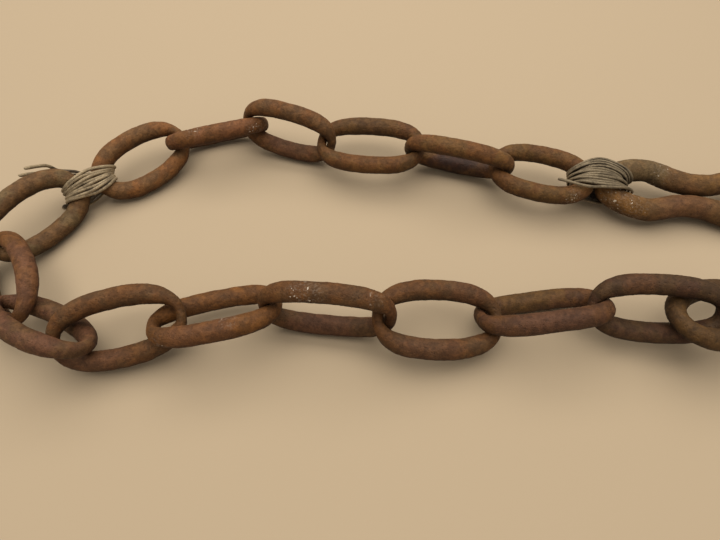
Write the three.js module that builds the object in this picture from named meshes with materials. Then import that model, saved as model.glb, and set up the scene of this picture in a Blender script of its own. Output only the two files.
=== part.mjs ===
import * as THREE from "three";

// An old hand-forged chain of oval links with one figure-eight link, lying in a hairpin.
// Two pairs of links only meet crown to crown, and each pair is bound with turns of iron wire.
// Millimetres throughout: X runs along the chain's long strands, Z is up from the floor it lies on.

// Round bar and the oval it is bent to.
const barDiameter = 10;
const linkSides = 8;
const linkSteps = 24;

// Years of rubbing have thinned each crown on its inner side, where the next link hangs.
const wornThickness = 4.7;
const wornHeight = 6.6;
const wearSharpness = 5;

// The figure-eight link: heavier bar, pinched until its two rods all but touch.
const heavyBarDiameter = 12.5;
const eightLength = 108;
const eightEyeWidth = 40;
const pinchGap = 0.4;
const pinchLength = 18.5;
const eightSides = 8;
const eightSteps = 36;

// Binding wires.
const wireSides = 6;
const stepsPerTurn = 12;
const tailStep = 3.6;
const clearance = 0.4;

const ironColour = 0x5a4430;
const paleIronColour = 0x6b5038;
const heavyIronColour = 0x63462e;
const wireColour = 0x6e6455;

const degrees = Math.PI / 180;

function iron(colour) {
  return new THREE.MeshStandardMaterial({ color: colour, roughness: 0.85, metalness: 0.3 });
}

// A closed surface through rings of points: looped back on itself, or capped at both ends.
function skin(rings, looped) {
  const sides = rings[0].length;
  const points = rings.flat();
  const faces = [];
  const bands = looped ? rings.length : rings.length - 1;
  for (let ring = 0; ring < bands; ring++) {
    const next = (ring + 1) % rings.length;
    for (let side = 0; side < sides; side++) {
      const after = (side + 1) % sides;
      const a = ring * sides + side;
      const b = ring * sides + after;
      const c = next * sides + after;
      const d = next * sides + side;
      faces.push(a, c, b, a, d, c);
    }
  }
  if (!looped) {
    const last = (rings.length - 1) * sides;
    for (let side = 1; side < sides - 1; side++) {
      faces.push(0, side, side + 1);
      faces.push(last, last + side + 1, last + side);
    }
  }
  const geometry = new THREE.BufferGeometry();
  geometry.setAttribute("position", new THREE.Float32BufferAttribute(points.flatMap((p) => p.toArray()), 3));
  geometry.setIndex(faces);
  geometry.computeVertexNormals();
  return geometry;
}

// A polygon section about a point, with one flat facing back along "outward".
function section(centre, outward, upward, halfThick, halfHigh, sides) {
  const ring = [];
  for (let side = 0; side < sides; side++) {
    const angle = ((side + 0.5) / sides) * 2 * Math.PI;
    const spot = centre.clone();
    spot.addScaledVector(outward, halfThick * Math.cos(angle));
    spot.addScaledVector(upward, halfHigh * Math.sin(angle));
    ring.push(spot);
  }
  return ring;
}

function power(value, exponent) {
  return Math.sign(value) * Math.abs(value) ** exponent;
}

// The centre line of an oval link and the half sizes of its bar, at an angle round the oval.
function ovalAt(angle, link) {
  const barRadius = barDiameter / 2;
  const crown = Math.cos(angle) > 0 ? link.wearAhead : link.wearBehind;
  const wear = crown * Math.abs(Math.cos(angle)) ** wearSharpness;
  const halfThick = barRadius - (barRadius - wornThickness / 2) * wear;
  const halfHigh = barRadius - (barRadius - (link.crownHeight ?? wornHeight) / 2) * wear;
  const reach = link.length / 2 - barRadius + (barRadius - wornThickness / 2) * crown;
  const x = reach * power(Math.cos(angle), 2 / link.roundness);
  const y = (link.width / 2 - barRadius) * power(Math.sin(angle), 2 / link.roundness);
  return { spot: new THREE.Vector3(x, y, 0), halfThick, halfHigh };
}

// The centre line of the figure-eight link: an oval drawn in towards its waist.
function eightAt(angle) {
  const barRadius = heavyBarDiameter / 2;
  const x = (eightLength / 2 - barRadius) * power(Math.cos(angle), 2 / 2.4);
  const full = (eightEyeWidth / 2 - barRadius) * power(Math.sin(angle), 2 / 2.4);
  const waist = (barRadius + pinchGap / 2) / (eightEyeWidth / 2 - barRadius);
  const pinch = (1 - waist) * Math.exp(-((x / pinchLength) ** 4));
  return { spot: new THREE.Vector3(x, full * (1 - pinch), 0), halfThick: barRadius, halfHigh: barRadius };
}

// A bar bent round a flat closed line, its section turned with the bend.
function bentLoop(lineAt, steps, sides) {
  const rings = [];
  const upward = new THREE.Vector3(0, 0, 1);
  const small = 1e-4;
  for (let step = 0; step < steps; step++) {
    const angle = ((step + 0.5) / steps) * 2 * Math.PI;
    const here = lineAt(angle);
    const along = lineAt(angle + small).spot.sub(lineAt(angle - small).spot).normalize();
    const outward = new THREE.Vector3().crossVectors(along, upward);
    rings.push(section(here.spot, outward, upward, here.halfThick, here.halfHigh, sides));
  }
  return skin(rings, true);
}

// A round wire along an open line of points.
function wire(points, diameter) {
  const rings = [];
  let upward = new THREE.Vector3(0, 0, 1);
  points.forEach((spot, index) => {
    const before = points[Math.max(index - 1, 0)];
    const after = points[Math.min(index + 1, points.length - 1)];
    const along = after.clone().sub(before).normalize();
    upward = upward.clone().addScaledVector(along, -upward.dot(along)).normalize();
    const outward = new THREE.Vector3().crossVectors(along, upward);
    rings.push(section(spot, outward, upward, diameter / 2, diameter / 2, wireSides));
  });
  return skin(rings, false);
}

// Points along a bar's centre line in the part's own frame, with the bar's radius, to keep the wire off it.
function barLine(mesh, lineAt, radius) {
  const line = [];
  for (let angle = 0; angle < 2 * Math.PI; angle += 0.02) {
    line.push(lineAt(angle).spot.applyMatrix4(mesh.matrix));
  }
  return { line, radius };
}

function distanceTo(bar, spot) {
  return Math.sqrt(Math.min(...bar.line.map((p) => p.distanceToSquared(spot)))) - bar.radius;
}

function eased(value) {
  const held = Math.min(Math.max(value, 0), 1);
  return held * held * (3 - 2 * held);
}

// How many strands a place lies on, when the strands are piled in layers.
function piled(place, layers) {
  const low = Math.floor(place);
  const under = ((low % layers) + layers) % layers;
  return under + ((((low + 1) % layers) + layers) % layers - under) * (place - low);
}

// A strand wound round two butted crowns: its turns lie side by side over the top, step sideways to the
// next place underneath, and pile up in layers where they dive inside the eyes.
function windingLine(binding, bars, lane) {
  const clearReach = binding.diameter / 2 + clearance;
  const layer = binding.diameter + 0.1;
  const places = binding.lanes * binding.turns;
  const spots = [];
  const first = Math.PI * binding.startsAt;
  const last = Math.PI * binding.endsAt;
  const steps = Math.round(((last - first) / (2 * Math.PI)) * stepsPerTurn);
  for (let step = 0; step <= steps; step++) {
    const turning = first + ((last - first) * step) / steps;
    const part = turning / (2 * Math.PI);
    const turn = Math.floor(part);
    const place = binding.lanes * (turn + eased((part - turn - 0.6) / 0.3)) + lane;
    const along = Math.abs(Math.cos(turning) / binding.halfSpan) ** binding.squareness;
    const across = Math.abs(Math.sin(turning) / binding.halfDepth) ** binding.squareness;
    const reach = (along + across) ** (-1 / binding.squareness);
    const crowding = ((Math.cos(turning) * reach) / binding.halfSpan) ** 2;
    const end = Math.cos(turning) > 0 ? binding.aheadEnd : binding.behindEnd;
    const spacing = binding.spread + (end.crowded - binding.spread) * crowding;
    const offCentre = binding.offCentre + (end.offCentre - binding.offCentre) * crowding;
    const overTop = Math.max(Math.sin(turning), 0) * (1 - crowding);
    const sloped = (lane ? binding.slope : -binding.slope) * Math.cos(turning) * overTop;
    const sideways = (place - (places - 1) / 2) * spacing + offCentre + sloped;
    const direction = binding.ahead.clone().multiplyScalar(Math.cos(turning));
    direction.addScaledVector(binding.upward, Math.sin(turning));
    const raised = (binding.raised + binding.laneRaised * lane) * overTop;
    const uneven = binding.uneven * Math.sin(2.4 * place) ** 2 * (1 - crowding);
    spots.push({
      base: binding.middle.clone().addScaledVector(binding.aside, sideways),
      direction,
      reach,
      outer: piled(place, end.layers) * layer * crowding + raised + uneven,
    });
  }
  const pointAt = (spot) => spot.base.clone().addScaledVector(spot.direction, spot.reach + spot.outer);
  const fouls = (point) => bars.some((bar) => distanceTo(bar, point) < clearReach);
  for (let pass = 0; pass < 150; pass++) {
    spots.forEach((spot, index) => {
      const next = spots[Math.min(index + 1, steps)];
      const middle = pointAt(spot).lerp(pointAt(next), 0.5);
      if (fouls(pointAt(spot))) spot.reach += 0.1;
      if (fouls(middle)) {
        spot.reach += 0.05;
        next.reach += 0.05;
      }
    });
  }
  return spots.map(pointAt);
}

// Evenly spaced points on a smooth curve through the given ones.
function smoothed(points) {
  const curve = new THREE.CatmullRomCurve3(points, false, "centripetal");
  return curve.getSpacedPoints(Math.round(curve.getLength() / tailStep));
}

// Each link's middle, the way its long axis heads, how that axis climbs and how far it leans on its side.
// Lengths and widths differ a little, as forge work does; a crown that only butts has no wear.
const links = [
  {
    name: "link_01", at: [99, 52, 16], heading: -13, climb: -2, lean: 6,
    length: 57.5, width: 36, roundness: 2.3, wearBehind: 1, wearAhead: 0, colour: paleIronColour,
  },
  {
    name: "link_02", at: [54.7, 63.3, 17], heading: -16, climb: 0, lean: -65,
    length: 61.4, width: 36, roundness: 2.5, wearBehind: 1, wearAhead: 1, crownHeight: 7.2, colour: ironColour,
  },
  {
    name: "link_03", at: [6, 73, 16.5], heading: -7, climb: 2, lean: 5,
    length: 61, width: 38, roundness: 2.5, wearBehind: 1, wearAhead: 1, colour: ironColour,
  },
  {
    name: "link_04", at: [-40.5, 83, 17.5], heading: -16, climb: -6, lean: 79,
    length: 56, width: 35, roundness: 2.5, wearBehind: 1, wearAhead: 1, colour: paleIronColour,
  },
  {
    name: "link_05", at: [-82.5, 84.5, 14.5], heading: 15, climb: 2, lean: -44,
    length: 59.5, width: 36.5, roundness: 2.4, wearBehind: 1, wearAhead: 1, crownHeight: 7.5, colour: ironColour,
  },
  {
    name: "link_06", at: [-123.5, 65, 12.5], heading: 39, climb: 5, lean: 33,
    length: 57, width: 36, roundness: 2.2, wearBehind: 0, wearAhead: 1, colour: ironColour,
  },
  {
    name: "link_07", at: [-168.5, 25, 15], heading: 54, climb: -2, lean: 48,
    length: 59, width: 36.5, roundness: 2.3, wearBehind: 1, wearAhead: 0, colour: paleIronColour,
  },
  {
    name: "link_08", at: [-170.5, -13.5, 14], heading: 125, climb: -5, lean: -31,
    length: 57.5, width: 37.5, roundness: 2.1, wearBehind: 1, wearAhead: 1, colour: ironColour,
  },
  {
    name: "link_09", at: [-143, -40.5, 18.5], heading: -28, climb: 3, lean: -44,
    length: 57, width: 35.5, roundness: 2.0, wearBehind: 1, wearAhead: 1, colour: ironColour,
  },
  {
    name: "link_10", at: [-109, -41, 16.5], heading: 15, climb: 2, lean: 38,
    length: 61, width: 37.5, roundness: 2.3, wearBehind: 1, wearAhead: 1.2, colour: paleIronColour,
  },
  {
    name: "link_11", at: [-66, -34.5, 16.5], heading: 13, climb: 0, lean: -29,
    length: 61.5, width: 36.5, roundness: 2.6, wearBehind: 1, wearAhead: 1, colour: ironColour,
  },
  {
    name: "link_12", at: [-15, -33.5, 19.5], heading: -7, climb: 3, lean: 87,
    length: 63.5, width: 38.5, roundness: 2.7, wearBehind: 1, wearAhead: 1, colour: ironColour,
  },
  {
    name: "link_13", at: [35.5, -36.5, 16], heading: 2, climb: -7, lean: 20,
    length: 61, width: 37.5, roundness: 2.4, wearBehind: 1, wearAhead: 1, colour: paleIronColour,
  },
  {
    name: "link_14", at: [84.5, -31.5, 14.5], heading: 6, climb: 4, lean: -42,
    length: 62.5, width: 37, roundness: 2.9, wearBehind: 1, wearAhead: 1, crownHeight: 7.3, colour: ironColour,
  },
  {
    name: "link_15", at: [134, -33.5, 20.5], heading: -7, climb: 5, lean: 53,
    length: 60, width: 34, roundness: 2.5, wearBehind: 1, wearAhead: 1, colour: ironColour,
  },
  {
    name: "link_16", at: [163.5, -34.5, 18], heading: 18, climb: -13, lean: -7,
    length: 56.5, width: 37.5, roundness: 2.2, wearBehind: 0.5, wearAhead: 1, colour: paleIronColour,
  },
];

const eight = { name: "figure_eight_link", at: [180.5, 41, 10.5], heading: -6, climb: -4, lean: 14 };

const group = new THREE.Group();
group.name = "rusty_chain";

function place(mesh, laid) {
  mesh.name = laid.name;
  mesh.position.set(...laid.at);
  mesh.rotation.set(laid.lean * degrees, -laid.climb * degrees, laid.heading * degrees, "ZYX");
  mesh.updateMatrix();
  group.add(mesh);
  return mesh;
}

const meshes = {};
for (const link of links) {
  const bar = bentLoop((angle) => ovalAt(angle, link), linkSteps, linkSides);
  meshes[link.name] = place(new THREE.Mesh(bar, iron(link.colour)), link);
}
const eightBar = bentLoop(eightAt, eightSteps, eightSides);
meshes[eight.name] = place(new THREE.Mesh(eightBar, iron(heavyIronColour)), eight);

const named = Object.fromEntries(links.map((link) => [link.name, link]));

function linkBar(name) {
  return barLine(meshes[name], (angle) => ovalAt(angle, named[name]), barDiameter / 2);
}

// The frame a binding is wound in: between two crowns, along the pair, and square to their mean plane.
function bindingFrame(near, far, nearCrown, farCrown, turned) {
  const start = nearCrown.clone().applyMatrix4(near.matrix);
  const end = farCrown.clone().applyMatrix4(far.matrix);
  const ahead = far.position.clone().sub(near.position).normalize();
  const upward = new THREE.Vector3(0, 0, 1).transformDirection(near.matrix);
  upward.add(new THREE.Vector3(0, 0, 1).transformDirection(far.matrix));
  upward.addScaledVector(ahead, -upward.dot(ahead)).normalize();
  ahead.applyAxisAngle(upward, turned * degrees);
  const aside = new THREE.Vector3().crossVectors(upward, ahead);
  return { middle: start.lerp(end, 0.5), ahead, upward, aside };
}

// A point given by its distances ahead, aside and upward in a binding's frame.
function inBinding(binding, [ahead, aside, upward]) {
  const spot = binding.middle.clone().addScaledVector(binding.ahead, ahead);
  return spot.addScaledVector(binding.aside, aside).addScaledVector(binding.upward, upward);
}

function addWire(name, points, diameter) {
  const mesh = new THREE.Mesh(wire(points, diameter), iron(wireColour));
  mesh.name = name;
  group.add(mesh);
}

// The left binding: stout wire, doubled. Its fold lies under the near side,
// and its two cut ends come out under the far side and lie back along link_07's far rod.
const leftBinding = {
  ...bindingFrame(
    meshes.link_07,
    meshes.link_06,
    ovalAt(0, named.link_07).spot,
    ovalAt(Math.PI, named.link_06).spot,
    -5,
  ),
  diameter: 1.9,
  lanes: 2,
  turns: 4,
  spread: 1.75,
  aheadEnd: { crowded: 0.65, layers: 3, offCentre: 0.8 },
  behindEnd: { crowded: 0.65, layers: 3, offCentre: -1.4 },
  halfSpan: 11,
  halfDepth: 6,
  squareness: 2.4,
  offCentre: 0,
  raised: 0.3,
  uneven: 0.7,
  slope: 1,
  laneRaised: 0.7,
  startsAt: -0.9,
  endsAt: 7.5,
};
// The cut ends' ways, in link_07's own frame.
const lowerEnd = [
  [28, 6.5, -9.4],
  [24, 9.6, -9.2],
  [20, 12.4, -7.6],
  [15, 16, -4.8],
  [10, 18.3, -3.2],
  [7.5, 19.3, -2.6],
];
const upperEnd = [
  [28.5, 8.4, -6.8],
  [26, 10, -6.4],
  [24, 11.6, -5.8],
  [23.2, 14, -4.6],
  [22.2, 15.9, -3.2],
  [19.6, 17.1, -2],
  [16, 18.7, -0.5],
  [11.3, 20.5, 0.8],
];
const leftBars = [linkBar("link_06"), linkBar("link_07")];
const inner = windingLine(leftBinding, leftBars, 0);
const outer = windingLine(leftBinding, leftBars, 1);
const besideRod = (ends) =>
  ends.map((spot) => new THREE.Vector3(...spot).applyMatrix4(meshes.link_07.matrix));
const innerTail = smoothed([inner.at(-2), inner.at(-1), ...besideRod(lowerEnd)]).slice(2);
const outerTail = smoothed([outer.at(-2), outer.at(-1), ...besideRod(upperEnd)]).slice(2);
const fold = new THREE.CatmullRomCurve3([
  outer[0],
  outer[0].clone().addScaledVector(leftBinding.ahead, -0.8),
  outer[0].clone().lerp(inner[0], 0.5).addScaledVector(leftBinding.ahead, -1.5),
  inner[0].clone().addScaledVector(leftBinding.ahead, -0.8),
  inner[0],
]).getSpacedPoints(7).slice(1, -1);
addWire(
  "binding_left",
  [...outerTail.reverse(), ...outer.reverse(), ...fold, ...inner, ...innerTail],
  leftBinding.diameter,
);

// The right binding: finer wire, single, more turns, its last end cut long over the top.
const rightBinding = {
  ...bindingFrame(
    meshes.link_01,
    meshes.figure_eight_link,
    ovalAt(0, named.link_01).spot,
    eightAt(Math.PI).spot,
    0,
  ),
  diameter: 1.6,
  lanes: 1,
  turns: 12,
  spread: 1.62,
  aheadEnd: { crowded: 0.46, layers: 4, offCentre: -0.5 },
  behindEnd: { crowded: 0.6, layers: 3, offCentre: -0.6 },
  halfSpan: 13,
  halfDepth: 7.5,
  squareness: 2.4,
  offCentre: -1.5,
  raised: 1.2,
  uneven: 0.5,
  slope: 0,
  laneRaised: 0,
  startsAt: -0.5,
  endsAt: 22.5,
};
rightBinding.aside.negate();
const rightBars = [linkBar("link_01"), barLine(meshes.figure_eight_link, eightAt, heavyBarDiameter / 2)];
const turns = windingLine(rightBinding, rightBars, 0);
const strayEnd = smoothed([
  turns.at(-2),
  turns.at(-1),
  inBinding(rightBinding, [-6, 8, 8.2]),
  inBinding(rightBinding, [-13, 6.5, 6.8]),
  inBinding(rightBinding, [-17.5, 5.5, 6.5]),
  inBinding(rightBinding, [-23, 4.8, 6.2]),
]).slice(2);
addWire("binding_right", [...turns, ...strayEnd], rightBinding.diameter);

// The part's origin: the middle of its footprint, on the floor.
const bounds = new THREE.Box3().setFromObject(group, true);
const middle = bounds.getCenter(new THREE.Vector3());
group.position.set(-middle.x, -middle.y, -bounds.min.z);

export default group;
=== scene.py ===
"""A length of rusty forged chain lying in a hairpin, with two wire bindings."""

import math
import random

import bmesh
import bpy
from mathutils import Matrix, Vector, noise


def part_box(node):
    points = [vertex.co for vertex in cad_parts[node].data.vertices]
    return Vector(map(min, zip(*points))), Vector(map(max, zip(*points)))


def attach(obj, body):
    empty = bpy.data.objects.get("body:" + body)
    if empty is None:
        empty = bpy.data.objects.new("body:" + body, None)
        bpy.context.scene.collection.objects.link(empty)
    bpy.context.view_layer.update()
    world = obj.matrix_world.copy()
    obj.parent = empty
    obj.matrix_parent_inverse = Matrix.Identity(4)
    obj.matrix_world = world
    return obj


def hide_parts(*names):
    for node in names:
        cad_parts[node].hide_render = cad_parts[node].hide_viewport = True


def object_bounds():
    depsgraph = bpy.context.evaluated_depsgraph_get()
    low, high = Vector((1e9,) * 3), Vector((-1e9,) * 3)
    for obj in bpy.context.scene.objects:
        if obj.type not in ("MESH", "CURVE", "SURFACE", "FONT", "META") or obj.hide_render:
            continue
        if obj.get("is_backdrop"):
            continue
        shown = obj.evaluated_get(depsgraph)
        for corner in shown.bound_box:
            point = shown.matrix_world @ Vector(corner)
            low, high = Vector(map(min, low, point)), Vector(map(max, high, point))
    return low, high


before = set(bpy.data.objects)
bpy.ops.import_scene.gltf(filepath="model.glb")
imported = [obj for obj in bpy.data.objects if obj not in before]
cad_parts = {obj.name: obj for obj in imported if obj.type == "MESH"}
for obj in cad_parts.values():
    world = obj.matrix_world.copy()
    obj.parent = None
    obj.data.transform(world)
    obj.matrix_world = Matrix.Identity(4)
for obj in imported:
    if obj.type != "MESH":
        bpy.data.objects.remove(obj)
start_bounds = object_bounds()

bl_info = {
    "name": "Rusty chain",
    "version": (1, 0, 0),
    "blender": (4, 5, 0),
    "location": "3D View > Sidebar > Chain",
    "description": "Builds a rusty hand-forged chain laid in a hairpin, tied with wire.",
    "category": "Add Mesh",
}

MM = 0.001
EIGHT = "figure_eight_link"
LINKS = sorted(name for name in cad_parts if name.startswith("link_"))

# How pale each binding's wire is.
BINDINGS = {"binding_left": 1.11, "binding_right": 0.70}

# The turns of a binding end between these distances from its middle, and the cut ends run on past them.
TURNS_END = (15 * MM, 18 * MM)

# The lamps: where each stands in metres, how wide it is and its tint.
KEY_LAMP = ((-0.06, 0.26, 0.98), 1.5, (1.0, 0.97, 0.92))
FILL_LAMP = ((0.35, -0.70, 0.60), 0.8, (0.95, 0.97, 1.0))
SKY_TINT = (1.0, 0.97, 0.93, 1.0)

# The floor: the duller tone that clouds it, half its width in metres and how far it lies below the chain.
FLOOR_SHADE = (0.42, 0.32, 0.21, 1.0)
FLOOR_HALF_WIDTH = 2.0
FLOOR_DROP = 0.1 * MM

# Each bar's main rust, the second rust that clouds it, and how light the whole bar is.
BAR_RUST = {
    "link_01": ("ochre", "brown", 1.20),
    "link_02": ("brown", "ochre", 1.40),
    "link_03": ("brown", "ochre", 1.12),
    "link_04": ("brown", "umber", 1.46),
    "link_05": ("brown", "red", 1.42),
    "link_06": ("brown", "umber", 1.80),
    "link_07": ("umber", "olive", 1.66),
    "link_08": ("brown", "plum", 1.48),
    "link_09": ("plum", "umber", 1.34),
    "link_10": ("brown", "umber", 1.20),
    "link_11": ("brown", "orange", 1.12),
    "link_12": ("brown", "umber", 1.08),
    "link_13": ("brown", "umber", 1.08),
    "link_14": ("brown", "plum", 0.95),
    "link_15": ("umber", "plum", 0.82),
    "link_16": ("ochre", "umber", 0.78),
    EIGHT: ("ochre", "umber", 1.56),
}

# Patches on a bar: place in its box from 0 to 1 along X, Y and Z, reach in millimetres, rust and strength.
PATCHES = {
    "link_01": [((0.1, 0.5, 0.5), 14, "brown", 0.8)],
    "link_02": [((0.54, 0.84, 0.10), 22, "black", 1.0)],
    "link_03": [((0.5, 0.0, 0.5), 24, "orange", 0.35), ((0.5, 1.0, 0.5), 20, "umber", 0.6)],
    "link_04": [((0.5, 0.5, 0.0), 22, "plum", 0.8)],
    "link_05": [((0.7, 0.2, 0.8), 12, "red", 0.5)],
    "link_08": [((0.9, 0.4, 0.5), 14, "plum", 0.6)],
    "link_10": [((0.3, 0.0, 0.5), 20, "plum", 0.6)],
    "link_11": [((1.0, 0.8, 0.2), 14, "orange", 0.7), ((0.5, 0.0, 1.0), 20, "red", 0.5)],
    "link_12": [((0.0, 0.5, 0.9), 20, "orange", 0.5), ((1.0, 0.5, 0.5), 13, "red", 0.5),
                ((0.5, 0.6, 0.0), 26, "plum", 0.9)],
    "link_13": [((0.4, 0.0, 0.5), 18, "plum", 0.5), ((0.7, 1.0, 0.5), 16, "plum", 0.5)],
    "link_14": [((0.45, 1.0, 0.0), 24, "ochre", 0.9), ((0.5, 0.0, 1.0), 22, "plum", 0.9)],
    "link_15": [((0.3, 0.1, 0.0), 16, "umber", 0.6), ((0.3, 0.8, 1.0), 9, "red", 0.6)],
    EIGHT: [((0.05, 0.1, 0.5), 24, "orange", 0.15), ((0.42, 0.2, 0.7), 20, "plum", 0.6),
            ((0.25, 1.0, 0.5), 26, "olive", 0.9)],
}

# Where pale grit is caught in the rust: place in the box, reach in millimetres and amount.
GRIT = {
    "link_01": [((0.75, 0.05, 0.4), 6, 0.9)],
    "link_02": [((0.85, 0.3, 1.0), 7, 0.5)],
    "link_05": [((0.93, 0.3, 0.8), 8, 0.9), ((0.35, 0.2, 0.9), 7, 0.6)],
    "link_11": [((0.17, 0.1, 0.6), 7, 0.8), ((0.64, 0.3, 1.0), 6, 0.8)],
    "link_12": [((0.36, 0.2, 1.0), 11, 1.0), ((0.85, 0.3, 0.9), 5, 0.5)],
    EIGHT: [((0.1, 0.2, 0.7), 17, 0.8), ((0.15, 0.9, 0.7), 10, 0.6), ((0.35, 0.8, 0.7), 10, 0.6)],
}


class IronSettings(bpy.types.PropertyGroup):
    """Sizes and colours of the forged and rusted iron."""

    swell: bpy.props.FloatProperty(
        name="Swell", description="How far the smoothed bar is filled back out to its full girth",
        default=0.00034, unit="LENGTH", precision=5)
    heavy_swell: bpy.props.FloatProperty(
        name="Heavy swell", description="The same for the figure-eight's heavier bar",
        default=0.00044, unit="LENGTH", precision=5)
    lump: bpy.props.FloatProperty(
        name="Lumps", description="Height of the slow unevenness left by the hammer",
        default=0.00026, unit="LENGTH", precision=5)
    dent: bpy.props.FloatProperty(
        name="Dents", description="Height of the smaller hammer marks",
        default=0.00016, unit="LENGTH", precision=5)
    scale: bpy.props.FloatProperty(
        name="Scale", description="Thickness of the flaking crust of rust",
        default=0.00010, unit="LENGTH", precision=5)
    pit: bpy.props.FloatProperty(
        name="Pits", description="Depth of the corroded pits",
        default=0.00018, unit="LENGTH", precision=5)
    brown: bpy.props.FloatVectorProperty(
        name="Brown", description="Main warm brown rust", subtype="COLOR", default=(0.106, 0.042, 0.0108))
    umber: bpy.props.FloatVectorProperty(
        name="Umber", description="Dull dark brown rust", subtype="COLOR", default=(0.084, 0.041, 0.0140))
    orange: bpy.props.FloatVectorProperty(
        name="Orange", description="Fresh orange-brown rust", subtype="COLOR", default=(0.150, 0.057, 0.0115))
    red: bpy.props.FloatVectorProperty(
        name="Red", description="Reddish rust", subtype="COLOR", default=(0.126, 0.048, 0.0165))
    plum: bpy.props.FloatVectorProperty(
        name="Plum", description="Purplish old rust", subtype="COLOR", default=(0.094, 0.039, 0.0175))
    ochre: bpy.props.FloatVectorProperty(
        name="Ochre", description="Yellow-brown rust", subtype="COLOR", default=(0.108, 0.052, 0.0130))
    olive: bpy.props.FloatVectorProperty(
        name="Olive", description="Greenish-grey brown rust", subtype="COLOR", default=(0.092, 0.058, 0.0240))
    black: bpy.props.FloatVectorProperty(
        name="Black", description="Near-black glossy old scale", subtype="COLOR", default=(0.030, 0.0110, 0.0050))
    grit: bpy.props.FloatVectorProperty(
        name="Grit", description="Pale grit and lime caught in the rust", subtype="COLOR",
        default=(0.62, 0.52, 0.40))


class WireSettings(bpy.types.PropertyGroup):
    """Sizes and colours of the binding wire."""

    swell: bpy.props.FloatProperty(
        name="Swell", description="How far the smoothed wire is filled back out to its full girth",
        default=0.00012, unit="LENGTH", precision=5)
    wobble: bpy.props.FloatProperty(
        name="Wobble", description="Height of the wire's nicks and flats",
        default=0.00005, unit="LENGTH", precision=5)
    zinc: bpy.props.FloatVectorProperty(
        name="Zinc", description="Dull grey weathered wire", subtype="COLOR", default=(0.315, 0.236, 0.136))
    # This brown is also the colour of the painted shade between the wire's turns.
    grime: bpy.props.FloatVectorProperty(
        name="Grime", description="Brown grime on the wire", subtype="COLOR", default=(0.055, 0.036, 0.019))


class StageSettings(bpy.types.PropertyGroup):
    """Floor, light and camera."""

    floor: bpy.props.FloatVectorProperty(
        name="Floor", description="Plain pale floor", subtype="COLOR", default=(0.47, 0.36, 0.235))
    lens: bpy.props.FloatProperty(
        name="Lens", description="Focal length on a 36 mm sensor", default=26.1, unit="CAMERA")
    elevation: bpy.props.FloatProperty(
        name="Elevation", description="Angle the camera looks down at", default=math.radians(57.95),
        subtype="ANGLE", unit="ROTATION")
    distance: bpy.props.FloatProperty(
        name="Distance", description="From the camera to the middle of the chain", default=0.2706,
        unit="LENGTH", precision=4)
    aim: bpy.props.FloatVectorProperty(
        name="Aim", description="Point the camera looks at", subtype="XYZ", unit="LENGTH",
        default=(-0.0206, -0.0211, 0.0007))
    sky: bpy.props.FloatProperty(
        name="Sky", description="Strength of the light from all round", default=0.33)
    key: bpy.props.FloatProperty(
        name="Key light", description="Power of the broad light above the far side", default=17.5)
    fill: bpy.props.FloatProperty(
        name="Fill light", description="Power of the weak light from the near side", default=0.12)


class Value:
    """A shader socket that adds and multiplies like a number."""

    def __init__(self, finish, socket):
        self.finish, self.socket = finish, socket

    def maths(self, operation, *values):
        return self.finish.node("ShaderNodeMath", {"operation": operation}, dict(enumerate(values)))

    def __add__(self, other):
        return self.maths("ADD", self, other)

    def __radd__(self, other):
        return self.maths("ADD", other, self)

    def __sub__(self, other):
        return self.maths("SUBTRACT", self, other)

    def __rsub__(self, other):
        return self.maths("SUBTRACT", other, self)

    def __mul__(self, other):
        return self.maths("MULTIPLY", self, other)

    def __rmul__(self, other):
        return self.maths("MULTIPLY", other, self)


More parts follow.
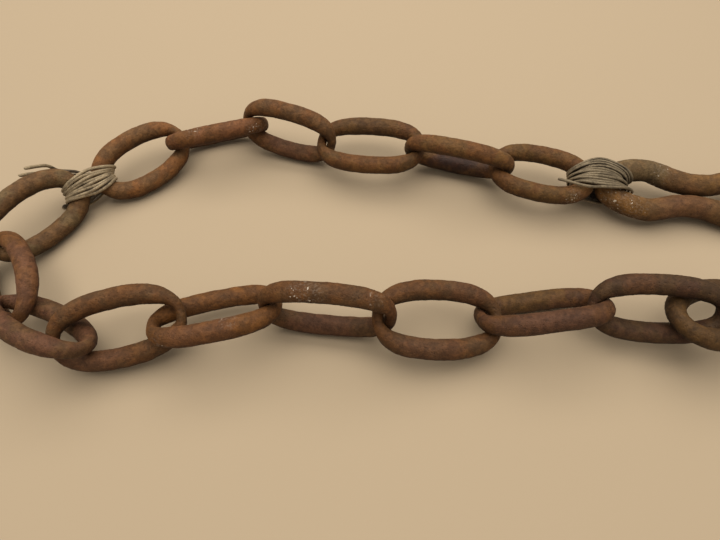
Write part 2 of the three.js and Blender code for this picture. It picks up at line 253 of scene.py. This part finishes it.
class Finish:
    """A surface built up from nodes."""

    def __init__(self, name):
        self.material = bpy.data.materials.new(name)
        self.material.use_nodes = True
        self.tree = self.material.node_tree
        self.tree.nodes.clear()
        self.place = self.node("ShaderNodeTexCoord", output="Object")

    def node(self, kind, settings=None, sockets=None, output=0):
        """Adds a node: its settings first, then its sockets' values or links."""
        made = self.tree.nodes.new(kind)
        for name, value in (settings or {}).items():
            setattr(made, name, value)
        for name, value in (sockets or {}).items():
            if isinstance(value, Value):
                self.tree.links.new(value.socket, made.inputs[name])
            else:
                made.inputs[name].default_value = value
        return Value(self, made.outputs[output])

    def blend(self, factor, first, second, how="MIX"):
        """Two colours mixed by a factor."""
        return self.node("ShaderNodeMix", {"data_type": "RGBA", "blend_type": how},
                         {0: factor, 6: first, 7: second}, output=2)

    def shaded(self, colour, shade):
        """A colour made lighter or darker by a value."""
        grey = self.node("ShaderNodeCombineColor", {}, {0: shade, 1: shade, 2: shade})
        return self.blend(1.0, colour, grey, "MULTIPLY")

    def clouds(self, size, detail=4, rough=0.6, shift=(0, 0, 0)):
        """Noise whose blotches are this many metres across."""
        moved = self.node("ShaderNodeMapping", {"vector_type": "POINT"},
                          {"Vector": self.place, "Location": shift})
        return self.node("ShaderNodeTexNoise", {"noise_dimensions": "3D"},
                         {"Vector": moved, "Scale": 1 / size, "Detail": detail, "Roughness": rough})

    def cells(self, size):
        """Cells this many metres across, as the distance from the middle of each."""
        return self.node("ShaderNodeTexVoronoi", {"feature": "F1"},
                         {"Vector": self.place, "Scale": 1 / size}, output="Distance")

    def ramp(self, value, start, end, low=0.0, high=1.0):
        """A value eased from low to high between start and end."""
        return self.node("ShaderNodeMapRange", {"interpolation_type": "SMOOTHSTEP", "clamp": True},
                         {"Value": value, "From Min": start, "From Max": end,
                          "To Min": low, "To Max": high})

    def painted(self, name, output="Fac"):
        """A value or colour painted on the piece's own points."""
        return self.node("ShaderNodeAttribute", {"attribute_type": "GEOMETRY", "attribute_name": name},
                         output=output)

    def bump(self, height, depth):
        """Fine relief from a height between 0 and 1."""
        return self.node("ShaderNodeBump", {}, {"Height": height, "Distance": depth, "Strength": 1.0})

    def done(self, **sockets):
        """Joins the surface's sockets to the output."""
        names = {"colour": "Base Color", "roughness": "Roughness", "metallic": "Metallic",
                 "normal": "Normal", "specular": "Specular IOR Level"}
        surface = self.node("ShaderNodeBsdfPrincipled", {},
                            {names[name]: value for name, value in sockets.items()}, output="BSDF")
        out = self.tree.nodes.new("ShaderNodeOutputMaterial")
        self.tree.links.new(surface.socket, out.inputs["Surface"])
        return self.material


def rusted_iron(name, settings):
    """Forged iron under old rust: mottled, freckled and blistered, with grit in places."""
    finish = Finish(name)
    # The rust colour painted on the points also carries painted shade on the bar's sides and undersides.
    tint = finish.painted("rust", "Color")
    relief = finish.painted("relief")
    grit_here = finish.painted("grit")
    gloss = finish.painted("gloss")
    mottle = finish.clouds(2.6 * MM, detail=5, rough=0.68)
    grain = finish.clouds(0.6 * MM, detail=3, shift=(0.3, 0.1, 0.7))
    freckles = finish.clouds(1.1 * MM, detail=2, rough=0.5, shift=(0.7, 0.4, 0.2))
    blisters = finish.cells(1.3 * MM)
    crumbs = finish.clouds(1.8 * MM, detail=2, rough=0.5, shift=(0.1, 0.8, 0.5))

    light = finish.ramp(mottle, 0.32, 0.70, 0.82, 1.18)
    speckle = finish.ramp(grain, 0.3, 0.7, 0.86, 1.14)
    shade = light * speckle * finish.ramp(relief, -0.9, 0.7, 0.70, 1.12)
    colour = finish.shaded(tint, shade)
    fresh = finish.ramp(freckles, 0.60, 0.74) * finish.ramp(mottle, 0.42, 0.6)
    colour = finish.blend(fresh * 0.16, colour, (*settings.orange, 1.0))
    old = finish.ramp(blisters, 0.34, 0.10) * finish.ramp(freckles, 0.46, 0.58)
    colour = finish.blend(old * 0.30, colour, (*settings.black, 1.0))
    smear = finish.ramp(freckles, 0.50, 0.66) * grit_here
    colour = finish.blend(smear * 0.12, colour, (*settings.grit, 1.0))
    specks = finish.ramp(crumbs, 0.665, 0.70) * finish.ramp(grit_here, 0.1, 0.8)
    colour = finish.blend(specks * 0.9, colour, (*settings.grit, 1.0))

    roughness = finish.ramp(mottle, 0.3, 0.7, 0.76, 0.62) - gloss * 0.16
    height = mottle * 0.5 + grain * 0.35 + finish.ramp(blisters, 0.0, 0.4) * 0.3
    return finish.done(colour=colour, roughness=roughness, specular=0.26,
                       normal=finish.bump(height, 0.6 * MM))


def weathered_wire(name, settings):
    """Dull grey wire with brown grime in blotches, and painted shade between the turns."""
    finish = Finish(name)
    relief = finish.painted("relief")
    blotches = finish.clouds(4.5 * MM, rough=0.65)
    grain = finish.clouds(0.5 * MM, detail=3, shift=(0.2, 0.5, 0.3))
    # Brown grime in blotches, plus painted shade where the wire turns in between its turns.
    grime_and_painted_shade = finish.ramp(blotches, 0.42, 0.66) * 0.45 + finish.ramp(relief, 0.7, -0.8) * 0.75
    colour = finish.blend(grime_and_painted_shade, (*settings.zinc, 1.0), (*settings.grime, 1.0))
    shade = finish.ramp(grain, 0.3, 0.7, 0.72, 1.25) * finish.painted("pale")
    colour = finish.shaded(colour, shade)
    roughness = finish.ramp(blotches, 0.35, 0.65, 0.52, 0.74)
    return finish.done(colour=colour, roughness=roughness, metallic=0.25, specular=0.4,
                       normal=finish.bump(grain * 0.6 + blotches * 0.4, 0.22 * MM))


def placed(name, data):
    """A new object in the scene that shows this mesh, lamp or camera."""
    made = bpy.data.objects.new(name, data)
    bpy.context.scene.collection.objects.link(made)
    return made


def mesh_of(bm, name):
    """A mesh of this name made from a bmesh, which is then freed."""
    mesh = bpy.data.meshes.new(name)
    bm.to_mesh(mesh)
    bm.free()
    return mesh


def merged_copy(node):
    """The solid's own shape with its corners joined and its triangles paired into quads."""
    bm = bmesh.new()
    bm.from_mesh(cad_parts[node].data)
    bmesh.ops.remove_doubles(bm, verts=bm.verts, dist=0.01 * MM)
    bmesh.ops.join_triangles(bm, faces=bm.faces, cmp_seam=False, cmp_sharp=False, cmp_uvs=False,
                             cmp_vcols=False, cmp_materials=False,
                             angle_face_threshold=math.radians(40), angle_shape_threshold=math.radians(70))
    return bm


def rounded(node, cuts):
    """A node's shape with its facets rounded by subdivision and its faces cut finer."""
    name = node + "_round"
    mesh = mesh_of(merged_copy(node), name)
    holder = placed(name, mesh)
    smooth = holder.modifiers.new("Round", "SUBSURF")
    smooth.levels = smooth.render_levels = 2
    fine = bmesh.new()
    fine.from_object(holder, bpy.context.evaluated_depsgraph_get())
    bpy.data.objects.remove(holder)
    bpy.data.meshes.remove(mesh)
    if cuts:
        bmesh.ops.subdivide_edges(fine, edges=fine.edges, cuts=cuts, use_grid_fill=True)
    bmesh.ops.recalc_face_normals(fine, faces=fine.faces)
    fine.normal_update()
    return fine


def eased(value, start, end):
    """0 before start, 1 after end and smooth between."""
    share = min(1.0, max(0.0, (value - start) / (end - start)))
    return share * share * (3 - 2 * share)


def crust(spot, iron):
    """How far the forged bar and its rusted skin stand out at a spot, in metres."""
    lumps = noise.noise(spot / (16 * MM)) * iron.lump
    dents = noise.noise(spot / (6.2 * MM)) * iron.dent
    broken = noise.fractal(spot / (4.2 * MM), 0.8, 2.1, 3)
    flakes = (eased(broken, -0.02, 0.08) - 0.5) * iron.scale
    near = noise.voronoi(spot / (2.1 * MM))[0][0]
    pitted = eased(noise.noise(spot / (9 * MM) + Vector((7, 3, 1))), -0.15, 0.3)
    pits = max(0.0, 1 - near / 0.42) ** 1.5 * pitted * iron.pit
    grains = noise.noise(spot / (1.1 * MM)) * iron.scale * 0.35
    return lumps + dents, flakes + grains - pits


def push_out(bm, heights):
    """Moves each point along its normal by its own height."""
    moves = [vert.normal * height for vert, height in zip(bm.verts, heights)]
    for vert, move in zip(bm.verts, moves):
        vert.co += move


def forge(bm, iron, swell, shift):
    """Fills the bar out to its girth and gives it lumps, hammer marks, flaking rust and pits."""
    relief = bm.verts.layers.float.new("relief")
    heights = []
    for vert in bm.verts:
        slow, quick = crust(vert.co + shift, iron)
        vert[relief] = max(-1.0, min(1.0, quick / (iron.scale + iron.pit) * 2))
        heights.append(swell + slow + quick)
    push_out(bm, heights)


def weather(bm, wire, lightness, shift):
    """Fills the wire out and nicks it, and paints its grime, with painted shade deepest between the turns, and
    how pale it is.
    """
    relief = bm.verts.layers.float.new("relief")
    pale = bm.verts.layers.float.new("pale")
    middle = sum((vert.co for vert in bm.verts), Vector()) / len(bm.verts)
    heights = []
    for vert in bm.verts:
        spot = vert.co + shift
        nick = noise.noise(spot / (1.4 * MM)) + 0.6 * noise.noise(spot / (5 * MM))
        from_middle = vert.co - middle
        turned_in_painted_shade = 1 - eased(vert.normal.dot(from_middle.normalized()), -0.1, 0.75)
        wound = 1 - eased(from_middle.length, *TURNS_END)
        # Painted shade: faces turned in towards the middle of the wound part are darkened, on top of the grime of
        # the nicks.
        vert[relief] = 1 + 0.4 * nick - 2 * turned_in_painted_shade * wound
        vert[pale] = lightness
        heights.append(wire.swell + wire.wobble * nick)
    push_out(bm, heights)


def in_box(node, shares):
    """A spot in a node's box, as shares of its width, depth and height."""
    low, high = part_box(node)
    return Vector(start + (end - start) * share for start, end, share in zip(low, high, shares))


def paint_rust(bm, node, iron, shift):
    """Paints the bar's rust colours, its patches, its gloss and its grit on its points, with painted shade on its
    sides and undersides.
    """
    rust = bm.verts.layers.float_color.new("rust")
    gloss = bm.verts.layers.float.new("gloss")
    grit = bm.verts.layers.float.new("grit")
    *rusts, lightness = BAR_RUST[node]
    main, second = (Vector(getattr(iron, name)) for name in rusts)
    umber, orange = Vector(iron.umber), Vector(iron.orange)
    patches = [(in_box(node, place), reach * MM, name, strength)
               for place, reach, name, strength in PATCHES.get(node, [])]
    gritty = [(in_box(node, place), reach * MM, amount) for place, reach, amount in GRIT.get(node, [])]
    for vert in bm.verts:
        spot = vert.co + shift
        cloud = noise.fractal(spot / (11 * MM), 0.7, 2.0, 3)
        streak = noise.noise(spot / (6 * MM) + Vector((5, 9, 2)))
        colour = main.lerp(second, 0.8 * eased(cloud, -0.3, 0.4))
        colour = colour.lerp(umber, 0.30 * eased(streak, 0.05, 0.6))
        colour = colour.lerp(orange, 0.10 * eased(-streak, 0.22, 0.6))
        shine = 0.0
        for middle, reach, name, strength in patches:
            away = (vert.co - middle).length / reach + 0.35 * cloud
            amount = strength * (1 - eased(away, 0.45, 1.1))
            colour = colour.lerp(Vector(getattr(iron, name)), amount)
            if name == "black":
                shine = max(shine, amount)
        # Painted shade: sides and undersides are darker than what faces up, as if lit from above.
        underside_painted_shade = 1 - 0.62 * eased(-vert.normal.z, -0.55, 0.55)
        vert[rust] = (*(colour * lightness * underside_painted_shade), 1.0)
        vert[gloss] = shine
        vert[grit] = max([amount * (1 - eased((vert.co - middle).length / reach, 0.5, 1.1))
                          for middle, reach, amount in gritty], default=0.0)


def finished_piece(bm, name, node, material):
    """Puts a finished mesh in the scene in place of its plain node, held inside the solids' box."""
    low, high = start_bounds
    for vert in bm.verts:
        vert.co = [min(max(at, least), most) for at, least, most in zip(vert.co, low, high)]
    for face in bm.faces:
        face.smooth = True
    mesh = mesh_of(bm, name)
    mesh.materials.append(material)
    piece = placed(name, mesh)
    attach(piece, "root")
    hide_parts(node)


def random_shift(name):
    """A place of its own in the noise for each piece."""
    draw = random.Random(name)
    return Vector([draw.uniform(-2, 2) for _ in range(3)])


def bar(node, iron, swell, cuts, material):
    """Builds a finished forged bar from its plain node."""
    bm = rounded(node, cuts)
    shift = random_shift(node)
    forge(bm, iron, swell, shift)
    bm.normal_update()
    paint_rust(bm, node, iron, shift)
    finished_piece(bm, "rusted_" + node, node, material)


class CHAIN_OT_links(bpy.types.Operator):
    """Builds the sixteen oval links"""

    bl_idname = "chain.links"
    bl_label = "Oval links"

    def execute(self, context):
        iron = context.scene.chain_iron
        material = rusted_iron("rusted_iron", iron)
        for node in LINKS:
            bar(node, iron, iron.swell, cuts=2, material=material)
        return {"FINISHED"}


class CHAIN_OT_figure_eight(bpy.types.Operator):
    """Builds the heavy figure-eight link"""

    bl_idname = "chain.figure_eight"
    bl_label = "Figure-eight link"

    def execute(self, context):
        iron = context.scene.chain_iron
        material = rusted_iron("rusted_heavy_iron", iron)
        bar(EIGHT, iron, iron.heavy_swell, cuts=1, material=material)
        return {"FINISHED"}


class CHAIN_OT_bindings(bpy.types.Operator):
    """Builds the two wire bindings"""

    bl_idname = "chain.bindings"
    bl_label = "Wire bindings"

    def execute(self, context):
        wire = context.scene.chain_wire
        material = weathered_wire("weathered_wire", wire)
        for node, lightness in BINDINGS.items():
            bm = rounded(node, cuts=0)
            weather(bm, wire, lightness, random_shift(node))
            finished_piece(bm, "wound_" + node, node, material)
        return {"FINISHED"}


def area_light(name, power, aim, place, size, tint):
    """A soft square light turned to a point."""
    lamp = bpy.data.lights.new(name, "AREA")
    lamp.shape, lamp.size, lamp.energy, lamp.color = "SQUARE", size, power, tint
    light = placed(name, lamp)
    light.location = place
    light.rotation_euler = (Vector(aim) - Vector(place)).to_track_quat("-Z", "Y").to_euler()


def lay_floor(stage):
    """A plain pale floor just under the chain."""
    finish = Finish("pale_floor")
    tone = finish.blend(finish.clouds(90 * MM, detail=3) * 0.10, (*stage.floor, 1.0), FLOOR_SHADE)
    material = finish.done(colour=tone, roughness=0.9, specular=0.2)
    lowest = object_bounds()[0].z
    bm = bmesh.new()
    bmesh.ops.create_grid(bm, x_segments=1, y_segments=1, size=FLOOR_HALF_WIDTH)
    bmesh.ops.translate(bm, verts=bm.verts, vec=(0, 0, lowest - FLOOR_DROP))
    mesh = mesh_of(bm, "floor")
    mesh.materials.append(material)
    placed("floor", mesh)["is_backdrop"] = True


def light_up(stage, aim):
    """A broad light above the far side, a weak one from the near side and light from all round."""
    area_light("key_light", stage.key, aim, *KEY_LAMP)
    area_light("fill_light", stage.fill, aim, *FILL_LAMP)
    world = bpy.data.worlds.new("sky")
    world.use_nodes = True
    background = world.node_tree.nodes["Background"]
    background.inputs["Color"].default_value = SKY_TINT
    background.inputs["Strength"].default_value = stage.sky
    bpy.context.scene.world = world
    bpy.context.scene.view_settings.view_transform = "Standard"


def set_camera(stage, aim):
    """The camera, looking down at the chain from the near side."""
    back = Vector((0, -math.cos(stage.elevation), math.sin(stage.elevation)))
    lens = bpy.data.cameras.new("camera")
    lens.lens = stage.lens
    lens.sensor_width = 36
    lens.clip_start = 10 * MM
    camera = placed("camera", lens)
    camera.location = aim + back * stage.distance
    camera.rotation_euler = (-back).to_track_quat("-Z", "Y").to_euler()
    bpy.context.scene.camera = camera


class CHAIN_OT_stage(bpy.types.Operator):
    """Sets the floor, the soft light and the camera"""

    bl_idname = "chain.stage"
    bl_label = "Floor, light and camera"

    def execute(self, context):
        stage = context.scene.chain_stage
        aim = Vector(stage.aim)
        lay_floor(stage)
        light_up(stage, aim)
        set_camera(stage, aim)
        return {"FINISHED"}


class CHAIN_PT_panel(bpy.types.Panel):
    """Sizes, colours and the build steps."""

    bl_idname = "CHAIN_PT_panel"
    bl_label = "Rusty chain"
    bl_space_type = "VIEW_3D"
    bl_region_type = "UI"
    bl_category = "Chain"

    def draw(self, context):
        for title, group, steps in (
            ("Iron", context.scene.chain_iron, (CHAIN_OT_links, CHAIN_OT_figure_eight)),
            ("Wire", context.scene.chain_wire, (CHAIN_OT_bindings,)),
            ("Stage", context.scene.chain_stage, (CHAIN_OT_stage,)),
        ):
            box = self.layout.box()
            box.label(text=title)
            for name in group.__annotations__:
                box.prop(group, name)
            for step in steps:
                box.operator(step.bl_idname)


GROUPS = {"chain_iron": IronSettings, "chain_wire": WireSettings, "chain_stage": StageSettings}
CLASSES = (*GROUPS.values(), CHAIN_OT_links, CHAIN_OT_figure_eight, CHAIN_OT_bindings, CHAIN_OT_stage,
           CHAIN_PT_panel)


def register():
    for kind in CLASSES:
        bpy.utils.register_class(kind)
    for name, group in GROUPS.items():
        setattr(bpy.types.Scene, name, bpy.props.PointerProperty(type=group))


def unregister():
    for name in GROUPS:
        delattr(bpy.types.Scene, name)
    for kind in reversed(CLASSES):
        bpy.utils.unregister_class(kind)


def main():
    register()
    bpy.ops.chain.links()
    bpy.ops.chain.figure_eight()
    bpy.ops.chain.bindings()
    bpy.ops.chain.stage()
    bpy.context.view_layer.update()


if __name__ == "__main__":
    main()
